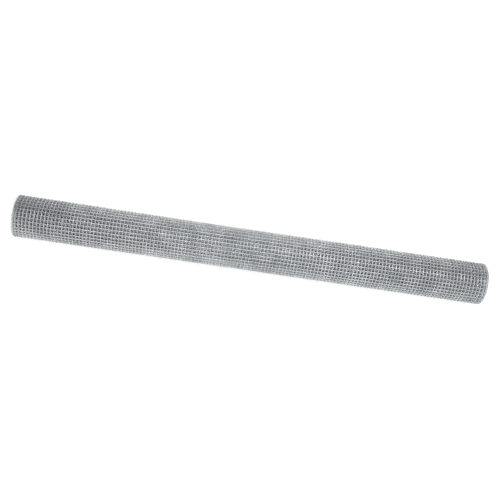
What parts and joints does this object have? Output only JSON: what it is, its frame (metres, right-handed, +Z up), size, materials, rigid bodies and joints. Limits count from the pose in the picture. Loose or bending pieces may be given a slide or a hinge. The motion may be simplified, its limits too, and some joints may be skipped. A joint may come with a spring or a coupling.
{
  "type": "roll of welded wire mesh fencing",
  "caption": "Long slim roll of fine galvanized welded wire mesh lying on its side, wound on itself with an open bore and a spiral of turns on each end.",
  "frame": {"origin": "on the floor, under the middle of the roll's bounding box", "axes": "+X along the roll's axis, +Z up, the free edge of the last turn low on the +Y side"},
  "size_m": [0.9, 0.0816, 0.0808],
  "materials": {
    "galvanized_wire": "dull bright zinc"
  },
  "bodies": {
    "root": {"mesh_roll": "galvanized_wire"}
  },
  "joints": []
}
